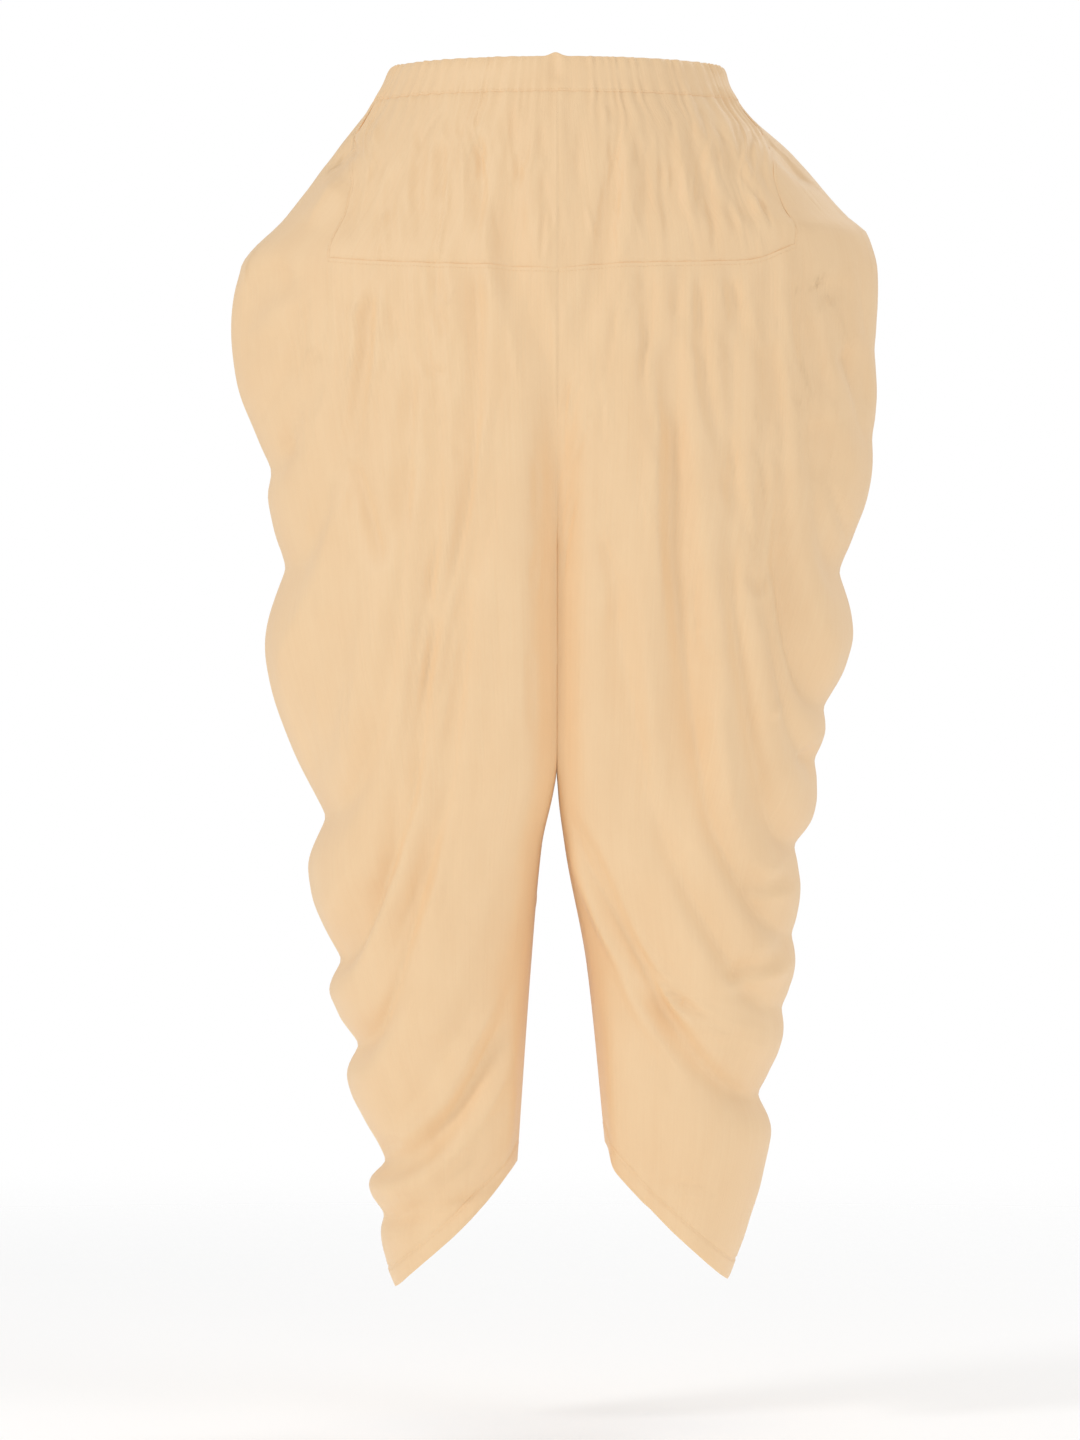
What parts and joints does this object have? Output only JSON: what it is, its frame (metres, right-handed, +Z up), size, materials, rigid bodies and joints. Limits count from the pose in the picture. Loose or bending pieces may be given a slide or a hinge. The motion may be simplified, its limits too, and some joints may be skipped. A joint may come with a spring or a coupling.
{
  "type": "salwar",
  "caption": "Draped dhoti-style salwar in plain pale peach cloth, with a gathered waist casing, a pleated yoke, cowl folds down both sides and slanting pointed hems.",
  "frame": {"origin": "centre of the waist opening at the casing's top edge", "axes": "+Z up along the wearer, -Y towards the front, +X towards the wearer's left side"},
  "size_m": [0.5147, 0.2738, 0.9694],
  "materials": {
    "cloth": "plain weave with a faint upright slub and a soft low sheen"
  },
  "bodies": {
    "root": {"waist_casing": "cloth", "yoke_front_right": "cloth", "yoke_front_left": "cloth", "yoke_back": "cloth", "leg_right": "cloth", "leg_left": "cloth", "hem_right": "cloth", "hem_left": "cloth"}
  },
  "joints": []
}
